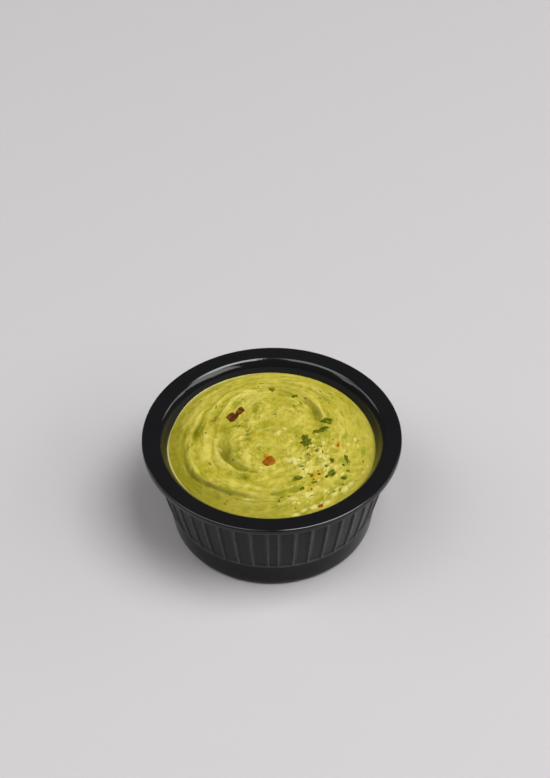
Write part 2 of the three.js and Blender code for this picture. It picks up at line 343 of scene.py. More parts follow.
def melamine(name, polish, specular, bare=1.0):
    """Black melamine with faint orange peel and dull handled patches, and light grey lines on its
    edges that are a painted highlight. Where its polish is lost, it is a little less black."""
    finish = Finish(name)
    handled = finish.noise(HANDLED_SCALE, 4)
    highlight_breaks = finish.ramp(finish.noise(HIGHLIGHT_BREAK_SCALE), (0.3, 0.55), (0.65, 1.0))
    # Painted highlight on the beads' crests and the ledge, broken up by noise.
    highlight_cover = finish.math("MULTIPLY", finish.attribute("painted_highlight_lines"), highlight_breaks)
    blacks = [(*(bare * channel for channel in black[:3]), 1)
              for black in (MELAMINE_BLACK, MELAMINE_WORN)]
    peel = finish.bump(finish.noise(PEEL_SCALE, 2, 0.5), PEEL_DEPTH, 0.5)
    grain = finish.bump(finish.noise(GRAIN_SCALE, 2), GRAIN_DEPTH, 0.5, peel)
    finish.wire(finish.shader, {
        "Base Color": finish.mix(highlight_cover, finish.mix(handled, *blacks), MELAMINE_PAINTED_HIGHLIGHT),
        "Roughness": finish.ramp(handled, (0.3, polish), (0.75, polish + HANDLED_ROUGHER)),
        "IOR": 1.5,
        "Specular IOR Level": specular,
        "Normal": grain,
    })
    return finish.material


rings, highlight_points = ramekin_rings()
ramekin = closed_skins("ramekin_body", rings[None], np.array([[0, 0, BASE_RECESS]]),
                       np.array([[0, 0, FLOOR_LEVEL]]))
point_attribute(ramekin, "painted_highlight_lines", highlight_points, after=POLES)
ramekin.data.materials.append(melamine("polished_melamine", **POLISHED))
ramekin.data.materials.append(melamine("fluted_melamine", **FLUTED))
section_radius, section_level = ramekin_section()[:-1].T
on_outer_wall = ((section_radius > FOOT_RADIUS - FLUTED_FINISH_MARGIN)
                 & (section_level < FLUTED_FINISH_LEVEL))
finish_of_faces = np.repeat(on_outer_wall, rings.shape[1])
finish_of_faces = np.append(finish_of_faces, np.zeros(POLES * rings.shape[1], bool))
ramekin.data.polygons.foreach_set("material_index", finish_of_faces.astype(np.int32))
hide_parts("ramekin")
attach(ramekin, "root")

# ---------- Guacamole ----------
# Mashed avocado, spooned in until it fills the well and turned into a swirl with the back of a
# spoon. It wets the wall, has fine streaks along the turn, and is chunky at the front right.

FILL_LEVEL = 30.65
SURFACE_RADIUS = 33.42
SWIRL_MIDDLE = (0.4, 5.7)
SWIRL_OVAL = 0.24
SWIRL_OVAL_BEARING = 72
SWIRL_ROUNDS = 14
WALL_CREEP, CREEP_WIDTH, CREEP_BEARING, CREEP_SPREAD = 0.45, 0.035, 160, 75
WALL_DIP, DIP_WIDTH, DIP_BEARING, DIP_SPREAD = 1.1, 0.12, 165, 17
WALL_SHOULDER, SHOULDER_WIDTH, SHOULDER_BEARING, SHOULDER_SPREAD = 1.2, 0.11, 0, 55

MASS_RISE, MASS_EXTRA, MASS_BEARING, MASS_SPREAD = 0.3, 0.75, 218, 42
MASS_EDGE, MASS_WIDTH = 0.795, 0.055
MASS_SWAYS = ((0.08, 203, 22), (-0.055, 258, 26), (-0.02, 5, 40))
GROOVE_DEPTH, GROOVE_OFFSET, GROOVE_WIDTH = 0.55, 0.015, 0.018
BOWL_EDGE, BOWL_WIDTH = 0.515, 0.06
BOWL_SWAYS = ((0.1, 80, 20), (0.042, 210, 20), (-0.045, 255, 20))
BOWL_DEPTH = 0.3
BOWL_HOLLOWS = ((2.0, 209, 22), (1.0, 42, 26), (0.8, 130, 26))
HOLLOW_POWER = 5
CREST_RISE, CREST_OFFSET, CREST_WIDTH = 0.24, 0.04, 0.04
HEART_RISE, HEART_SHARE = 0.45, 0.5

# Crests and furrows of single spoon strokes: share and bearing of both ends, rise and width.
SPOON_MARKS = (
    (0.725, 168, 0.76, 120, 0.5, 0.03), (0.76, 124, 0.63, 104, 0.4, 0.028),
    (0.62, 152, 0.655, 122, 0.45, 0.028), (0.655, 126, 0.6, 108, 0.35, 0.025),
    (0.6, 180, 0.565, 240, 0.4, 0.03), (0.635, 66, 0.55, 24, 0.4, 0.024),
    (0.89, 180, 0.875, 138, 0.3, 0.02), (0.69, 160, 0.7, 210, 0.35, 0.035),
    (0.82, 176, 0.8, 134, 0.3, 0.022), (0.66, 225, 0.64, 268, 0.3, 0.03),
    (0.535, 68, 0.49, 24, -0.42, 0.024), (0.6, 86, 0.54, 66, -0.4, 0.02),
    (0.675, 118, 0.665, 160, -0.35, 0.022), (0.77, 138, 0.78, 185, -0.35, 0.02),
    (0.28, 232, 0.45, 249, -0.25, 0.014), (0.58, 122, 0.56, 140, -0.3, 0.022),
    (0.648, 203, 0.632, 223, -0.25, 0.012), (0.845, 150, 0.85, 178, -0.25, 0.015),
    (0.752, 240, 0.757, 268, -0.3, 0.012), (0.802, 242, 0.80, 264, -0.25, 0.011),
    (0.745, 158, 0.74, 178, -0.35, 0.013), (0.875, 162, 0.872, 182, -0.3, 0.012),
    (0.3, 168, 0.285, 190, -0.2, 0.016), (0.7, 262, 0.67, 300, -0.25, 0.02),
    (0.94, 196, 0.92, 246, -0.2, 0.016), (0.86, 60, 0.84, 96, 0.2, 0.018),
    (0.78, 40, 0.76, 84, 0.22, 0.02), (0.7, 28, 0.72, 62, -0.22, 0.018),
)
MARK_TAPER = 0.6
# Noise drawn out along the turn: its cells across and around, its height or reach, and its seed.
STROKES = ((8, 9, 0.26, 21), (17, 25, 0.17, 22), (34, 64, 0.09, 23))
STROKE_WANDER = ((5, 7, 0.045, 24), (12, 17, 0.016, 25))
STROKE_PATCHES = ((6, 9, 0.5, 26),)
MARK_WANDER = ((14, 31, 0.014, 27),)
GROOVE_BREAKS = ((9, 40, 0.3, 28),)
# Noise on the plan: the size of its cells, its height, and its seed.
LUMPS = ((2.9, 0.26, 31), (1.4, 0.15, 32), (0.7, 0.06, 33))
PATCH_EDGES = ((1.1, 0.5, 34), (0.45, 0.4, 35))
NOISE_CELLS, NOISE_SHIFT = 128, 40
CRESTED_POWER = 0.8

# Grounds on the top. A start or an end is a share, or a step from an edge, and the fade's width.
CHUNK_BEARING, CHUNK_SPREAD = 318, 34
CHUNKY_SHARE, CHUNKY_FADE, CHUNKY_END = 0.3, 0.2, (0.93, 0.12)
CHUNKY_SWAYS = ((0.1, 350, 20),)
SMOOTH_BEARING, SMOOTH_SPREAD, SMOOTH_START = 5, 55, (0.79, 0.1)
SKIRT_BEARING, SKIRT_SPREAD, SKIRT_STEP, SKIRT_FADE = 210, 66, 0.02, 0.05
# Strength of the strokes and lumps, and how much each ground adds to it or takes from it.
STROKE_BASE, STROKE_SWAYS = 0.65, ((0.6, 150, 45), (0.6, 238, 30))
STROKE_START, STROKE_END = (0.17, 0.2), (0.97, 0.05)
STROKE_LESS_SMOOTH, STROKE_LESS_CHUNKY, STROKE_LESS_SKIRT = 0.85, 0.5, 0.4
LUMP_BASE, LUMP_MORE_CHUNKY, LUMP_LESS_SMOOTH, LUMP_MORE_HEART = 0.38, 0.62, 0.26, 0.2
LUMP_HEART_END, LUMP_END = (0.42, 0.2), (0.975, 0.04)
# Painted shade, with some real green, in the pocket, along the groove and on the skirt.
POCKET_GREEN_AND_SHADE, POCKET_BEARING, POCKET_SPREAD = 0.84, 212, 23
POCKET_START, POCKET_STEP, POCKET_FADE = (0.44, 0.13), 0.01, 0.03
GROOVE_GREEN_AND_SHADE, SHADED_GROOVE_BEARING, SHADED_GROOVE_SPREAD = 0.85, 226, 30
SHADED_GROOVE_STEP, SHADED_GROOVE_WIDTH = 0.005, 0.028
SKIRT_GREEN_AND_SHADE = 0.72
# Chunks of firmer flesh, painted pale, which is partly a painted highlight for glints, as at
# bearings 201 and 253; stains of green juice round the herbs and of red oil round the chilli:
# share, bearing, length, width and turn from the line of the spoon.
FIRM_CHUNKS_AND_GLINTS = (
    (0.379, 290, 3.2, 1.9, 0), (0.429, 299, 2.6, 2.2, 20), (0.576, 304, 3.4, 1.8, 10),
    (0.634, 329, 2.4, 2.0, 0), (0.750, 326, 2.2, 1.3, 30), (0.928, 323, 2.9, 1.5, 20),
    (0.925, 317, 2.6, 1.6, -10), (0.798, 295, 3.4, 2.6, 15), (0.835, 307, 2.4, 1.4, 10),
    (0.905, 310, 2.6, 1.3, 0), (0.782, 283, 2.8, 1.5, -10), (0.921, 288, 2.4, 1.4, 10),
    (0.926, 294, 2.8, 1.6, 0), (0.95, 282, 3.2, 1.2, 0), (0.94, 303, 2.2, 1.2, 20),
    (0.564, 346, 2.0, 1.4, 40), (0.764, 352, 1.9, 1.2, 0), (0.07, 325, 2.2, 1.6, 0),
    (0.12, 20, 1.8, 1.2, 30), (0.545, 201, 1.2, 1.0, 0), (0.778, 253, 2.8, 0.8, 0),
)
GREEN_STAINS = (
    (0.39, 341, 4.6, 3.4, 30), (0.51, 7, 5.4, 3.0, 12), (0.57, 19, 3.6, 3.4, 60),
    (0.602, 292, 4.4, 2.2, 0), (0.71, 288, 4.0, 2.4, 0), (0.76, 319.5, 4.0, 3.0, 40),
    (0.858, 323.5, 2.6, 2.4, 0), (0.79, 336, 2.6, 3.6, 10), (0.522, 68, 3.4, 1.8, 0),
    (0.591, 90, 3.2, 1.6, 0), (0.743, 169, 2.6, 1.0, 0), (0.873, 171, 2.4, 0.8, 0),
    (0.289, 178, 2.2, 1.0, 0), (0.58, 129, 4.6, 2.2, 0), (0.33, 238, 3.0, 0.8, 10),
    (0.42, 246, 2.4, 0.8, 10), (0.117, 140, 1.6, 0.8, 0), (0.66, 105, 3.0, 1.0, 0),
    (0.9, 350, 5.0, 1.6, 0), (0.9, 300, 5.0, 2.0, 0), (0.84, 275, 6.0, 2.4, 0),
)
RED_STAINS = (
    (0.67, 307, 3.4, 2.0, 20), (0.686, 313, 2.2, 1.8, 0), (0.685, 349, 2.0, 2.4, 0),
    (0.939, 298, 2.4, 1.6, 0), (0.285, 258, 2.4, 1.8, 60), (0.36, 283, 2.2, 1.2, 30),
    (0.21, 195, 3.4, 1.4, 0), (0.5, 138, 4.0, 1.6, 0), (0.13, 200, 1.8, 1.2, 0),
    (0.8, 24, 2.2, 1.2, 0), (0.52, 320, 2.6, 1.4, 20), (0.75, 300, 2.2, 1.4, 0),
)
CHUNK_RISE = 0.24
PATCH_EDGE, PATCH_FADE = 0.85, 1.0
STRAY_CHUNKS, CHUNK_SEED = 64, 51
STRAY_STAINS, STAIN_SEED = 30, 52
STRAY_SHARES, STRAY_BEARING, STRAY_SPREAD = (0.42, 0.96), CHUNK_BEARING - 4, 17
STRAY_LENGTHS, STRAY_WIDTHS, STRAY_TURNS = (0.8, 1.9), (0.5, 1.1), (-40, 40)

FIBRE_ACROSS, FIBRE_ALONG = 46.0, 11.0
FIBRE_WANDER = ((11, 29, 0.016, 41), (36, 83, 0.006, 42))

TOP_COLUMNS, TOP_RINGS, INNERMOST_SHARE = 520, 180, 0.008
# Under its top the mash lies just inside the well: the gap that it keeps at the floor and at
# the two ends of the wall, and its own corners, as (radius, level).
UNDER_GAP, UNDER_INNERMOST = 0.05, 6.0
UNDER_CORNER, UNDER_TOP = (27.4, 5.0), (32.85, 28.8)
# Span of the relief that paints light on crests and shade in hollows, and how much lighter the
# smooth band is painted.
RELIEF_SPAN, RELIEF_SMOOTH_LIFT = 1.3, 0.1
# A painted highlight along the mash's edge at the wall: where it starts, its least strength, and
# the bearing and spread of its strongest part, on the left.
EDGE_HIGHLIGHT_START, EDGE_HIGHLIGHT_BASE, EDGE_HIGHLIGHT_BEARING, EDGE_HIGHLIGHT_SPREAD = (0.988, 0.01), 0.2, 180, 110
CLOUD_SCALE, MOTTLE_SCALE, PULP_SCALE = 170, 520, 900
FIBRE_SCALE, DAB_SCALE = 1.0, 0.42
PULP_DEPTH, FIBRE_DEPTH, MASH_GRAIN_DEPTH = 0.0003, 0.0002, 0.00006

# These tones are the mash's own; the pale one also paints light on its crests, and the darkest one
# paints shade in its hollows, pocket and groove.
AVOCADO_DEEP = (0.098, 0.089, 0.0005, 1)
AVOCADO_BODY = (0.284, 0.242, 0.023, 1)
AVOCADO_PALE = (0.428, 0.366, 0.070, 1)
AVOCADO_GREEN = (0.190, 0.188, 0.006, 1)
AVOCADO_FIRM_AND_GLINT = (0.425, 0.381, 0.128, 1)
# A painted highlight along the edge at the wall.
AVOCADO_EDGE_HIGHLIGHT = (0.36, 0.34, 0.14, 1)
GREEN_JUICE = (0.150, 0.165, 0.006, 1)
RED_OIL = (0.380, 0.215, 0.008, 1)


def near(bearing, middle, spread):
    """1 at one bearing in degrees, fading on both sides along a bell curve."""
    return bell((bearing - middle + 180) % 360 - 180, spread)


def ripple(u, v, seed, round_cells=NOISE_CELLS):
    """Smooth noise from -1 to 1 on unit cells: random heights at whole numbers, blended by
    smoothstep between them. Along v it repeats after round_cells cells."""
    heights = np.random.default_rng(seed).uniform(-1, 1, (NOISE_CELLS, round_cells))
    iu, iv = np.floor(u).astype(int), np.floor(v).astype(int)
    su, sv = u - iu, v - iv
    su, sv = su * su * (3 - 2 * su), sv * sv * (3 - 2 * sv)
    rows, columns = heights.shape
    a, b = heights[iu % rows, iv % columns], heights[iu % rows, (iv + 1) % columns]
    c, d = heights[(iu + 1) % rows, iv % columns], heights[(iu + 1) % rows, (iv + 1) % columns]
    return (a * (1 - sv) + b * sv) * (1 - su) + (c * (1 - sv) + d * sv) * su


def drawn_out(share, bearing, noises):
    """The sum of noises drawn out along the turn, each times its height."""
    return sum(height * ripple(share * across, bearing / 360 * around, seed, around)
               for across, around, height, seed in noises)


def plan_ripple(x, y, size, seed):
    """Noise on the plan, with cells of the size."""
    return ripple(x / size + NOISE_SHIFT, y / size + NOISE_SHIFT, seed)


def swirl_oval(share, turn):
    """Stretch of the oval at a turn in radians: greatest at the heart, and 1 at the wall."""
    return 1 + SWIRL_OVAL * (1 - share) * np.cos(2 * (turn - np.radians(SWIRL_OVAL_BEARING)))


def swirl_plan(share, bearing):
    """Plan place of a share of the way to the wall and a bearing: an oval about the swirl's
    middle at the heart, which turns into the ramekin's own circle at the wall."""
    turn = np.radians(bearing)
    reach = SURFACE_RADIUS * share * swirl_oval(share, turn)
    shift = 1 - share**2
    return (SWIRL_MIDDLE[0] * shift + reach * np.cos(turn),
            SWIRL_MIDDLE[1] * shift + reach * np.sin(turn))


def swirl_place(x, y):
    """Share and bearing of a plan place: swirl_plan undone in rounds, each of which starts from
    the share that the last one found."""
    share = np.hypot(x, y) / SURFACE_RADIUS
    for _ in range(SWIRL_ROUNDS):
        shift = 1 - share**2
        dx, dy = x - SWIRL_MIDDLE[0] * shift, y - SWIRL_MIDDLE[1] * shift
        turn = np.arctan2(dy, dx)
        share = np.hypot(dx, dy) / (SURFACE_RADIUS * swirl_oval(share, turn))
    return share, np.degrees(turn)


def swayed(base, sways, bearing):
    """A share, depth or strength, with bell curves added to it or taken from it: each is given
    as its height, bearing and spread."""
    return base + sum(sway * near(bearing, middle, spread) for sway, middle, spread in sways)


def at_wall(share, width):
    """1 at the wall, down to 0 at the width from it, along a parabola."""
    return np.clip((share - 1 + width) / width, 0, 1) ** 2


def turned_level(share, bearing):
    """Level of the turned top: a mass above a grooved, lower skirt, sunk inside a crest, with a
    low rise at the heart. At the wall it creeps up on the left, apart from one place there where
    it dips, and rolls under on the right."""
    mass_edge = swayed(MASS_EDGE, MASS_SWAYS, bearing)
    turned_high = near(bearing, MASS_BEARING, MASS_SPREAD)
    mass_rise = MASS_RISE + MASS_EXTRA * turned_high
    mass = mass_rise * (1 - climb(share, mass_edge, MASS_WIDTH))
    groove = GROOVE_DEPTH * turned_high * bell(share - mass_edge - GROOVE_OFFSET, GROOVE_WIDTH)
    bowl_edge = swayed(BOWL_EDGE, BOWL_SWAYS, bearing)
    hollows = swayed(0, BOWL_HOLLOWS, bearing)
    sunk = BOWL_DEPTH * (share / bowl_edge) ** 2 + hollows * (share / bowl_edge) ** HOLLOW_POWER
    bowl = sunk * (1 - climb(share, bowl_edge, BOWL_WIDTH))
    crest = (CREST_RISE * (BOWL_DEPTH + hollows)
             * bell(share - bowl_edge - CREST_OFFSET, CREST_WIDTH))
    heart = HEART_RISE * bell(share, HEART_SHARE)
    creep = (WALL_CREEP * near(bearing, CREEP_BEARING, CREEP_SPREAD)
             * climb(share, 1 - CREEP_WIDTH / 2, CREEP_WIDTH))
    shoulder = (WALL_SHOULDER * near(bearing, SHOULDER_BEARING, SHOULDER_SPREAD)
                * at_wall(share, SHOULDER_WIDTH))
    dip = WALL_DIP * near(bearing, DIP_BEARING, DIP_SPREAD) * at_wall(share, DIP_WIDTH)
    return (FILL_LEVEL + mass - groove - bowl + crest + heart * mass_rise
            + creep - shoulder - dip)


def chunkiness(share, bearing):
    """1 in the chunky patch at the front right, 0 outside it."""
    inner = swayed(CHUNKY_SHARE, CHUNKY_SWAYS, bearing)
    return (near(bearing, CHUNK_BEARING, CHUNK_SPREAD) * climb(share, inner, CHUNKY_FADE)
            * (1 - climb(share, *CHUNKY_END)))


def smoothness(share, bearing):
    """1 in the smooth band along the right wall, 0 away from it."""
    return near(bearing, SMOOTH_BEARING, SMOOTH_SPREAD) * climb(share, *SMOOTH_START)


def on_skirt(share, bearing):
    """1 on the lower skirt between the mass and the wall at the left, 0 away from it."""
    mass_edge = swayed(MASS_EDGE, MASS_SWAYS, bearing)
    inner = mass_edge + SKIRT_STEP
    return near(bearing, SKIRT_BEARING, SKIRT_SPREAD) * climb(share, inner, SKIRT_FADE)


def crested(noise):
    """Smooth noise folded into sharp crests between rounded hollows, from -1 to 1."""
    return 1 - 2 * np.abs(noise) ** CRESTED_POWER


def spoon_marks(share, bearing):
    """Crests and furrows of single strokes: bell curves about a line from end to end, which
    taper at both ends as a power of a sine does."""
    share = share + drawn_out(share, bearing, MARK_WANDER)
    height = 0.0
    for share_0, bearing_0, share_1, bearing_1, rise, width in SPOON_MARKS:
        along = np.clip((bearing % 360 - bearing_0) / (bearing_1 - bearing_0), 0, 1)
        off_line = share - share_0 - (share_1 - share_0) * along
        height = height + rise * np.sin(np.pi * along) ** MARK_TAPER * bell(off_line, width)
    return height


def with_strays(places, count, seed):
    """The places given, and small stray ones drawn at random in and near the chunky patch."""
    draw = np.random.default_rng(seed)
    stray = np.stack([
        draw.uniform(*STRAY_SHARES, count), draw.normal(STRAY_BEARING, STRAY_SPREAD, count),
        draw.uniform(*STRAY_LENGTHS, count), draw.uniform(*STRAY_WIDTHS, count),
        draw.uniform(*STRAY_TURNS, count),
    ], -1)
    return np.vstack([places, stray])


all_chunks = with_strays(FIRM_CHUNKS_AND_GLINTS, STRAY_CHUNKS, CHUNK_SEED)
all_green_stains = with_strays(GREEN_STAINS, STRAY_STAINS, STAIN_SEED)


def patches(x, y, places):
    """1 inside the oval patches listed, 0 outside them, with a soft, uneven edge between."""
    uneven = sum(height * plan_ripple(x, y, size, seed) for size, height, seed in PATCH_EDGES)
    inside = 0.0
    for share, bearing, length, width, turn in places:
        middle_x, middle_y = swirl_plan(share, bearing)
        line = np.radians(bearing + 90 + turn)
        along = ((x - middle_x) * np.cos(line) + (y - middle_y) * np.sin(line)) / (length / 2)
        across = ((y - middle_y) * np.cos(line) - (x - middle_x) * np.sin(line)) / (width / 2)
        outside = climb(np.hypot(along, across) + uneven, PATCH_EDGE, PATCH_FADE)
        inside = np.maximum(inside, 1 - outside)
    return inside


def stroke_height(share, bearing):
    """Ridges that the spoon left along the turn: noise drawn out round the swirl, which wanders
    in and out. It is stronger in some patches than in others, calmer in the chunky patch and on
    the skirt, and almost gone in the smooth band."""
    wandered = share + drawn_out(share, bearing, STROKE_WANDER)
    height = sum(rise * crested(ripple(wandered * across, bearing / 360 * around, seed, around))
                 for across, around, rise, seed in STROKES)
    patchy = swayed(STROKE_BASE + drawn_out(share, bearing, STROKE_PATCHES), STROKE_SWAYS, bearing)
    fade = climb(share, *STROKE_START) * (1 - climb(share, *STROKE_END))
    calm = (1 - STROKE_LESS_SMOOTH * smoothness(share, bearing)
            - STROKE_LESS_CHUNKY * chunkiness(share, bearing)
            - STROKE_LESS_SKIRT * on_skirt(share, bearing))
    return height * patchy * fade * calm


def lump_height(share, bearing, x, y):
    """Lumps of pulp of three sizes on the plan: highest in the chunky patch, higher at the heart
    than round it, and lowest in the smooth band."""
    height = sum(rise * crested(plan_ripple(x, y, size, seed)) for size, rise, seed in LUMPS)
    strength = (LUMP_BASE + LUMP_MORE_CHUNKY * chunkiness(share, bearing)
                - LUMP_LESS_SMOOTH * smoothness(share, bearing)
                + LUMP_MORE_HEART * (1 - climb(share, *LUMP_HEART_END)))
    return height * strength * (1 - climb(share, *LUMP_END))


def relief_height(share, bearing, x, y):
    """All that stands on the turned top: spoon marks, strokes, lumps and chunks of firmer flesh."""
    return (spoon_marks(share, bearing) + stroke_height(share, bearing)
            + lump_height(share, bearing, x, y) + CHUNK_RISE * patches(x, y, all_chunks))


def surface_level(share, bearing, x, y):
    """Level of the finished top."""
    return turned_level(share, bearing) + relief_height(share, bearing, x, y)


def green_and_painted_shade(share, bearing):
    """Painted shade, with some real green: most in the pocket and along the broken groove, where
    the mash lies in thick folds, less on the skirt outside the groove, and 0 elsewhere."""
    mass_edge = swayed(MASS_EDGE, MASS_SWAYS, bearing)
    bowl_edge = swayed(BOWL_EDGE, BOWL_SWAYS, bearing)
    pocket = (POCKET_GREEN_AND_SHADE * near(bearing, POCKET_BEARING, POCKET_SPREAD)
              * climb(share, *POCKET_START)
              * (1 - climb(share, bowl_edge + POCKET_STEP, POCKET_FADE)))
    broken = GROOVE_GREEN_AND_SHADE + drawn_out(share, bearing, GROOVE_BREAKS)
    groove = (broken * near(bearing, SHADED_GROOVE_BEARING, SHADED_GROOVE_SPREAD)
              * bell(share - mass_edge - SHADED_GROOVE_STEP, SHADED_GROOVE_WIDTH))
    return np.maximum(np.maximum(pocket, groove), SKIRT_GREEN_AND_SHADE * on_skirt(share, bearing))


def guacamole_skin():
    """The well's own section from its floor up to the wall's line, then the top in rings. Gives
    the rings, both poles, and the share, bearing and plan place of each point of the top."""
    bearing = np.arange(TOP_COLUMNS) / TOP_COLUMNS * 360
    share = np.linspace(1, INNERMOST_SHARE, TOP_RINGS)
    s, b = np.meshgrid(share, bearing, indexing="ij")
    x, y = swirl_plan(s, b)
    top = np.stack([x, y, surface_level(s, b, x, y)], -1)
    floor_level = FLOOR_LEVEL + UNDER_GAP
    section = np.array([
        (UNDER_INNERMOST, floor_level), (WELL_FLOOR_RADIUS, floor_level), UNDER_CORNER,
        (WELL_WALL_FOOT[0] - UNDER_GAP, WELL_WALL_FOOT[1]),
        (WELL_WALL_TOP[0] - UNDER_GAP, WELL_WALL_TOP[1]), UNDER_TOP,
    ])
    turn = np.radians(bearing)
    under = np.stack([
        section[:, :1] * np.cos(turn), section[:, :1] * np.sin(turn),
        np.broadcast_to(section[:, 1:], (len(section), len(bearing))),
    ], -1)
    heart = np.array([[*SWIRL_MIDDLE, surface_level(0.0, 0.0, *SWIRL_MIDDLE)]])
    return np.concatenate([under, top])[None], np.array([[0, 0, floor_level]]), heart, s, b, x, y


def mashed_avocado():
    """Moist mash with fibres drawn out along the turn. Painted light and shade: lighter along its
    crests, darker in its hollows, pocket and groove, where there is some real green too, pale
    chunks at the front right that are partly painted glints, and a painted highlight along its
    edge at the wall."""
    finish = Finish("mashed_avocado")
    relief, green_and_shade, firm_and_glint, green, red, edge = (
        finish.attribute(name) for name in ("relief", "green_and_shade", "firm_and_glint", "green", "red", "edge"))
    turned = finish.attribute("turned", "Vector")
    cloud = finish.noise(CLOUD_SCALE)
    fibre = finish.noise(FIBRE_SCALE, vector=turned)
    dab = finish.noise(DAB_SCALE, vector=turned)
    pulp = finish.noise(PULP_SCALE, 4, 0.65)
    mottle = finish.noise(MOTTLE_SCALE)
    colour = AVOCADO_BODY
    # Each layer covers by a ramp of one value: (value, cover) at both of its ends.
    for value, start, end, layer in (
        (cloud, (0.4, 0.0), (0.66, 0.7), AVOCADO_GREEN),
        (mottle, (0.5, 0.0), (0.7, 0.4), AVOCADO_GREEN),
        (mottle, (0.3, 0.35), (0.48, 0.0), AVOCADO_PALE),
        # Painted light on the relief's crests.
        (relief, (0.5, 0.0), (0.85, 0.8), AVOCADO_PALE),
        (fibre, (0.52, 0.0), (0.72, 0.3), AVOCADO_PALE),
        (fibre, (0.3, 0.4), (0.45, 0.0), AVOCADO_DEEP),
        # Painted shade in the relief's hollows.
        (relief, (0.05, 0.95), (0.46, 0.0), AVOCADO_DEEP),
        (dab, (0.57, 0.0), (0.7, 0.6), GREEN_JUICE),
        (green, (0.1, 0.0), (1.0, 0.75), GREEN_JUICE),
        (red, (0.1, 0.0), (1.0, 0.7), RED_OIL),
        # Painted shade in the pocket, along the groove and on the skirt, with some real green.
        (green_and_shade, (0.0, 0.0), (1.0, 0.92), AVOCADO_DEEP),
    ):
        colour = finish.mix(finish.ramp(value, start, end), colour, layer)
    # Pale chunks: the flesh's own colour, partly a painted highlight for glints.
    chunk_and_glint = finish.math("MULTIPLY", firm_and_glint, finish.ramp(pulp, (0.35, 0.4), (0.6, 1.0)))
    colour = finish.mix(chunk_and_glint, colour, AVOCADO_FIRM_AND_GLINT)
    # Painted highlight along the moist edge at the wall, strongest on the left.
    colour = finish.mix(edge, colour, AVOCADO_EDGE_HIGHLIGHT)
    mash = finish.bump(pulp, PULP_DEPTH, 0.45)
    drawn = finish.bump(fibre, FIBRE_DEPTH, 0.6, mash)
    grain = finish.bump(finish.noise(GRAIN_SCALE), MASH_GRAIN_DEPTH, 0.5, drawn)
    finish.wire(finish.shader, {
        "Base Color": colour,
        "Roughness": finish.ramp(pulp, (0.3, 0.27), (0.7, 0.45)),
        "IOR": 1.4,
        "Specular IOR Level": 0.16,
        "Subsurface Weight": 0.2,
        "Subsurface Radius": (1.0, 0.7, 0.15),
        "Subsurface Scale": 0.0012,
        "Normal": grain,
    })
    return finish.material


def turned_attribute(piece, share, bearing, before, after):
    """Stores a place on a tube for each point, so noise on it is drawn out along the turn. The
    lines wander in and out."""
    turn = np.radians(bearing)
    across = (share + drawn_out(share, bearing, FIBRE_WANDER)) * FIBRE_ACROSS
    tube = np.stack([across, FIBRE_ALONG * np.cos(turn), FIBRE_ALONG * np.sin(turn)], -1)
    whole = np.concatenate([np.zeros((before, 3)), tube.reshape(-1, 3), np.zeros((after, 3))])
    layer = piece.data.attributes.new("turned", "FLOAT_VECTOR", "POINT")
    layer.data.foreach_set("vector", whole.astype(np.float32).ravel())


guacamole_rings, guacamole_floor, guacamole_heart, s, b, x, y = guacamole_skin()
guacamole = closed_skins("guacamole_mass", guacamole_rings, guacamole_floor, guacamole_heart)
under_points = guacamole_rings.shape[1] * guacamole_rings.shape[2] - s.size
edge_highlight = EDGE_HIGHLIGHT_BASE + (1 - EDGE_HIGHLIGHT_BASE) * near(b, EDGE_HIGHLIGHT_BEARING, EDGE_HIGHLIGHT_SPREAD)
for name, values in {
    # Relief drives the painted light on crests and the painted shade in hollows.
    "relief": (0.5 + relief_height(s, b, x, y) / RELIEF_SPAN
               + RELIEF_SMOOTH_LIFT * smoothness(s, b)),
    "green_and_shade": green_and_painted_shade(s, b),
    "firm_and_glint": patches(x, y, all_chunks),
    "green": patches(x, y, all_green_stains),
    "red": patches(x, y, RED_STAINS),
    "edge": climb(s, *EDGE_HIGHLIGHT_START) * edge_highlight,
}.items():
    point_attribute(guacamole, name, values, under_points, POLES)
turned_attribute(guacamole, s, b, under_points, POLES)
guacamole.data.materials.append(mashed_avocado())
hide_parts("guacamole")
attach(guacamole, "root")

# ---------- Chilli ----------
# Bits of cooked red chilli, 1 to 4 mm long, pressed into the mash. They are soft, glossy and
# rounded at their edges, from dark red-brown to orange.

CHILLI_BITS = (
    (0.511, 147, 4.2, 2.5, 48), (0.487, 133, 3.4, 2.1, 52), (0.345, 264.5, 4.3, 3.4, 40),
    (0.686, 311, 1.0, 0.8, 20), (0.653, 305, 1.5, 0.7, 70), (0.685, 349, 1.3, 0.9, 80),
    (0.939, 298, 1.7, 0.9, 20), (0.285, 258, 1.6, 0.9, 80),
)
CHILLI_RIPENESS = (-0.16, -0.14, 0.2, 0.2, 0.15, 0.45, 0.3, 0.8)
CHILLI_THICKNESS, CHILLI_SUNK, CHILLI_SQUARE, CHILLI_SEED = 0.9, 0.45, 3.6, 61
EDGE_POWER = 0.35
CHILLI_LOBES = ((2, 0.05), (3, 0.07), (5, 0.03))
CHILLI_DARK = (0.052, 0.013, 0.0005, 1)
CHILLI_ORANGE = (0.40, 0.130, 0.006, 1)
BLOTCH_SCALE, WRINKLE_SCALE, WRINKLE_DEPTH = 700, 1800, 0.00012


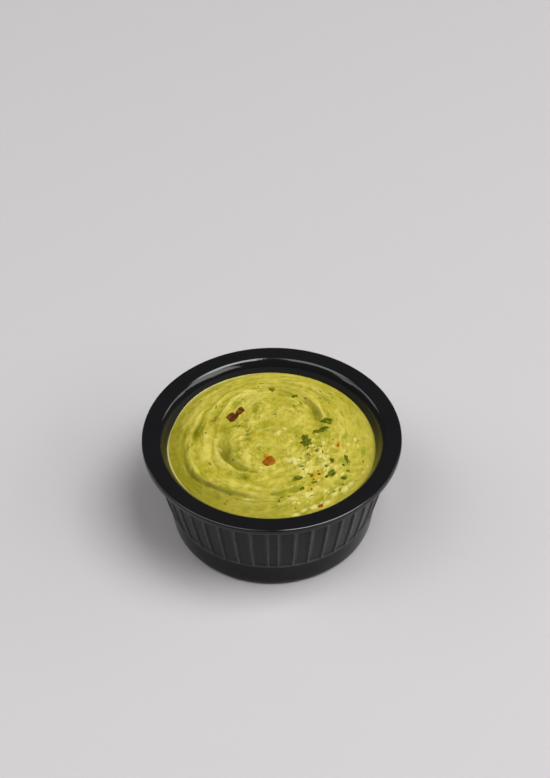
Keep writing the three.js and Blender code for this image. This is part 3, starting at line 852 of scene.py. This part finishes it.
def lying_bits(name, places, thickness, sunk, lobes, seed, rows=14, columns=40, square=2):
    """Flat pieces on the mash, from share, bearing, length, width and turn from +X of each.

    Their outlines are superellipses, whose power makes them square, times 1 plus some cosines of
    the angle, and their edges round off as a power of a cosine does. They follow the mash.
    """
    share, bearing, length, width, turn = np.array(places, float).T[:, :, None, None]
    phases = np.random.default_rng(seed).uniform(0, 2 * np.pi, (len(lobes), len(places), 1, 1))
    middle_x, middle_y = swirl_plan(share, bearing)
    lean = (np.linspace(-1, 1, rows + 2)[1:-1] * np.pi / 2)[None, :, None]
    angle = (np.arange(columns) / columns * 2 * np.pi)[None, None]
    lobed = 1 + sum(size * np.cos(count * angle + phase)
                    for (count, size), phase in zip(lobes, phases))
    squared = np.abs(np.cos(angle)) ** square + np.abs(np.sin(angle)) ** square
    reach = np.cos(lean) ** EDGE_POWER * (lobed / squared ** (1 / square))
    u, v = length / 2 * reach * np.cos(angle), width / 2 * reach * np.sin(angle)
    turn = np.radians(turn)
    x = middle_x + u * np.cos(turn) - v * np.sin(turn)
    y = middle_y + u * np.sin(turn) + v * np.cos(turn)
    height = thickness * (1 + np.sin(lean)) / 2 - sunk
    rings = np.stack([x, y, surface_level(*swirl_place(x, y), x, y) + height], -1)
    return closed_skins(name, rings, rings[:, 0].mean(1), rings[:, -1].mean(1))


def chilli_flesh():
    """Soft red flesh under a glossy skin, blotched from dark red to orange."""
    finish = Finish("chilli_flesh")
    blotch = finish.noise(BLOTCH_SCALE)
    riper = finish.ramp(blotch, (0.38, -0.15), (0.66, 0.45))
    ripe = finish.math("ADD", finish.attribute("ripe"), riper, True)
    finish.wire(finish.shader, {
        "Base Color": finish.mix(ripe, CHILLI_DARK, CHILLI_ORANGE),
        "Roughness": finish.ramp(blotch, (0.3, 0.3), (0.7, 0.45)),
        "IOR": 1.4,
        "Specular IOR Level": 0.14,
        "Subsurface Weight": 0.2,
        "Subsurface Radius": (1.0, 0.3, 0.1),
        "Subsurface Scale": 0.0006,
        "Normal": finish.bump(finish.noise(WRINKLE_SCALE), WRINKLE_DEPTH, 0.6),
    })
    return finish.material


chilli = lying_bits("chilli_bits", CHILLI_BITS, CHILLI_THICKNESS, CHILLI_SUNK, CHILLI_LOBES,
                    CHILLI_SEED, square=CHILLI_SQUARE)
ripeness = np.repeat(CHILLI_RIPENESS, len(chilli.data.vertices) // len(CHILLI_BITS))
point_attribute(chilli, "ripe", ripeness)
chilli.data.materials.append(chilli_flesh())
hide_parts("guacamole")
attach(chilli, "root")

# ---------- Herb ----------
# Torn leaves of coriander, 1 to 5 mm long, wilted flat onto the mash, and fine flecks of it. A
# third of the flecks lie in the chunky patch, and the spoon drew the others out along the turn.

HERB_FLAKES = (
    (0.397, 338, 3.6, 2.5, 30), (0.37, 346, 3.2, 2.2, 70), (0.51, 7, 4.8, 2.0, 12),
    (0.572, 19, 2.8, 3.3, 60), (0.602, 292, 2.9, 1.6, 5), (0.722, 292, 1.5, 1.3, 30),
    (0.76, 319.5, 2.8, 1.9, 40), (0.858, 323.5, 1.8, 1.6, 0), (0.522, 68, 2.0, 1.5, 30),
    (0.79, 339, 1.2, 3.2, 10), (0.694, 330, 1.4, 2.0, 30), (0.718, 303, 1.6, 1.0, 10),
    (0.591, 90, 1.8, 1.6, 20), (0.794, 332, 0.9, 1.0, 0), (0.849, 330, 0.9, 1.2, 40),
    (0.682, 322, 1.4, 1.0, 20), (0.75, 314, 1.2, 0.9, 10), (0.776, 274, 0.8, 1.0, 0),
    (0.521, 302, 1.2, 0.7, 30), (0.53, 332, 1.5, 1.0, 40),
)
HERB_THICKNESS, HERB_SUNK, HERB_SEED = 0.3, 0.08, 62
HERB_LOBES = ((2, 0.1), (3, 0.16), (5, 0.1), (8, 0.05))
FLECKS, FLECK_SEED = 64, 71
FLECK_THICKNESS, FLECK_SUNK = 0.2, 0.1
FLECK_LOBES, FLECK_LOBE_SEED = ((3, 0.12),), 63
FLECK_ROWS, FLECK_COLUMNS = 3, 8
FLECK_SQUARED_SHARES, FLECK_LENGTHS, FLECK_WIDTHS = (0.02, 0.88), (0.5, 2.0), (0.25, 0.45)
FLECK_TURN_SPREAD = 14
# One fleck in this many lies in the chunky patch, where they are shorter, wider and less in line.
PATCH_FLECK_EVERY, PATCH_FLECK_SHARES, PATCH_FLECK_SPREAD = 3, (0.42, 0.93), 24
PATCH_FLECK_LENGTH, PATCH_FLECK_WIDTH, PATCH_FLECK_TURN = 0.7, 1.5, 3
HERB_DARK = (0.038, 0.047, 0.001, 1)
HERB_LIGHT = (0.120, 0.130, 0.005, 1)
VEIN_SCALE, CRUMPLE_SCALE, CRUMPLE_DEPTH = 800, 1600, 0.00015


def fleck_places():
    """Some flecks lie in the chunky patch. The others are spread evenly over the area, and lie
    along the turn."""
    draw = np.random.default_rng(FLECK_SEED)
    patchy = np.arange(FLECKS) % PATCH_FLECK_EVERY == 0
    share = np.sqrt(draw.uniform(*FLECK_SQUARED_SHARES, FLECKS))
    gathered = draw.normal(CHUNK_BEARING, PATCH_FLECK_SPREAD, FLECKS)
    bearing = np.where(patchy, gathered, draw.uniform(0, 360, FLECKS))
    share = np.where(patchy, draw.uniform(*PATCH_FLECK_SHARES, FLECKS), share)
    length = draw.uniform(*FLECK_LENGTHS, FLECKS) * np.where(patchy, PATCH_FLECK_LENGTH, 1)
    width = draw.uniform(*FLECK_WIDTHS, FLECKS) * np.where(patchy, PATCH_FLECK_WIDTH, 1)
    aside = draw.normal(0, FLECK_TURN_SPREAD, FLECKS) * np.where(patchy, PATCH_FLECK_TURN, 1)
    return np.stack([share, bearing, length, width, bearing + 90 + aside], -1)


def wilted_leaf():
    """Wet, wilted leaf, from dark green to olive."""
    finish = Finish("wilted_leaf")
    vein = finish.noise(VEIN_SCALE)
    finish.wire(finish.shader, {
        "Base Color": finish.mix(finish.ramp(vein, (0.42, 0.0), (0.7, 1.0)), HERB_DARK, HERB_LIGHT),
        "Roughness": finish.ramp(vein, (0.3, 0.35), (0.7, 0.5)),
        "IOR": 1.4,
        "Specular IOR Level": 0.1,
        "Normal": finish.bump(finish.noise(CRUMPLE_SCALE), CRUMPLE_DEPTH, 0.6),
    })
    return finish.material


leaf = wilted_leaf()
flakes = lying_bits("herb_flakes", HERB_FLAKES, HERB_THICKNESS, HERB_SUNK, HERB_LOBES, HERB_SEED)
flecks = lying_bits("herb_flecks", fleck_places(), FLECK_THICKNESS, FLECK_SUNK, FLECK_LOBES,
                    FLECK_LOBE_SEED, FLECK_ROWS, FLECK_COLUMNS)
for herb in (flakes, flecks):
    herb.data.materials.append(leaf)
    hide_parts("guacamole")
    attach(herb, "root")

# ---------- Table ----------
# A plain pale table top, matt and finely grained, that the ramekin's foot stands on at level 0.
# It isn't part of the dish.

TABLE_HALF = 1500.0
TABLE_COLOUR = (0.355, 0.341, 0.347, 1)
TABLE_GRAIN_SCALE, TABLE_GRAIN_DEPTH = 900, 0.00005


def table_top():
    """One square face at level 0."""
    corners = np.array([(-1, -1, 0), (1, -1, 0), (1, 1, 0), (-1, 1, 0)], float)
    mesh = bpy.data.meshes.new("table_top")
    mesh.from_pydata(corners * TABLE_HALF * MILLIMETRE, [], [(0, 1, 2, 3)])
    piece = bpy.data.objects.new("table_top", mesh)
    bpy.context.scene.collection.objects.link(piece)
    finish = Finish("pale_table")
    finish.wire(finish.shader, {
        "Base Color": TABLE_COLOUR, "Roughness": 0.9, "Specular IOR Level": 0.2,
        "Normal": finish.bump(finish.noise(TABLE_GRAIN_SCALE, 2, 0.5), TABLE_GRAIN_DEPTH, 0.3),
    })
    mesh.materials.append(finish.material)
    return piece


table_top()

# ---------- Studio ----------
# Soft boxes hang level over the dish. The right ones are brighter, and between them and the left
# ones there is a dark gap, which widens towards the front.

BOX_HEIGHT = 2.0
# Middle, size, turn in degrees and radiance of each box.
SOFT_BOXES = {
    "right_near_box": ((0.87, -0.38), (1.40, 1.25), 12, 11.5),
    "right_mid_box": ((3.00, -1.50), (2.80, 3.00), 0, 4.1),
    "right_far_box": ((4.20, 1.20), (2.40, 2.40), 0, 4.0),
    "left_near_box": ((-1.05, -0.45), (1.60, 1.30), -25, 4.1),
    "left_far_box": ((-3.20, 0.30), (2.20, 3.00), 0, 2.6),
}
ROOM_GREY = (0.06, 0.06, 0.063, 1)


def soft_box(name, middle, size, turn, radiance):
    """A level area light that looks straight down, of one radiance over its whole face."""
    light = bpy.data.lights.new(name, "AREA")
    light.shape = "RECTANGLE"
    light.size, light.size_y = size
    light.energy = radiance * np.pi * size[0] * size[1]
    lamp = bpy.data.objects.new(name, light)
    lamp.location = (*middle, BOX_HEIGHT)
    lamp.rotation_euler.z = np.radians(turn)
    bpy.context.scene.collection.objects.link(lamp)


for name, box in SOFT_BOXES.items():
    soft_box(name, *box)
world = bpy.data.worlds.new("room")
world.use_nodes = True
world.node_tree.nodes["Background"].inputs["Color"].default_value = ROOM_GREY
bpy.context.scene.world = world
bpy.context.scene.view_settings.view_transform = "Standard"

# ---------- Camera ----------
# A long lens looks down at 44 degrees from the front, turned a little clockwise. It is held so
# that the middle of the rim lies just below the middle of the frame.

CAMERA_PITCH = np.radians(43.7)
CAMERA_ROLL = np.radians(0.75)
CAMERA_DISTANCE = 0.6652
FOCAL_PIXELS = 2100.0
FRAME_WIDTH, FRAME_HEIGHT = 550, 778
RIM_MIDDLE_IN_FRAME = (271.7, 435.0)
SENSOR_SIZE = 36.0

forward = np.array([0, np.cos(CAMERA_PITCH), -np.sin(CAMERA_PITCH)])
level_right = np.array([1.0, 0, 0])
level_up = np.array([0, np.sin(CAMERA_PITCH), np.cos(CAMERA_PITCH)])
right = level_right * np.cos(CAMERA_ROLL) - level_up * np.sin(CAMERA_ROLL)
up = level_up * np.cos(CAMERA_ROLL) + level_right * np.sin(CAMERA_ROLL)
ray = (forward + right * (RIM_MIDDLE_IN_FRAME[0] - FRAME_WIDTH / 2) / FOCAL_PIXELS
       - up * (RIM_MIDDLE_IN_FRAME[1] - FRAME_HEIGHT / 2) / FOCAL_PIXELS)
rim_middle = np.array([0, 0, RAMEKIN_HEIGHT * MILLIMETRE])
eye = rim_middle - CAMERA_DISTANCE * ray / np.linalg.norm(ray)

lens = bpy.data.cameras.new("camera")
lens.sensor_width = SENSOR_SIZE
lens.lens = FOCAL_PIXELS * SENSOR_SIZE / FRAME_HEIGHT
camera = bpy.data.objects.new("camera", lens)
turn = Matrix([right, up, -forward]).transposed().to_4x4()
camera.matrix_world = Matrix.Translation(Vector(eye)) @ turn
bpy.context.scene.collection.objects.link(camera)
bpy.context.scene.camera = camera
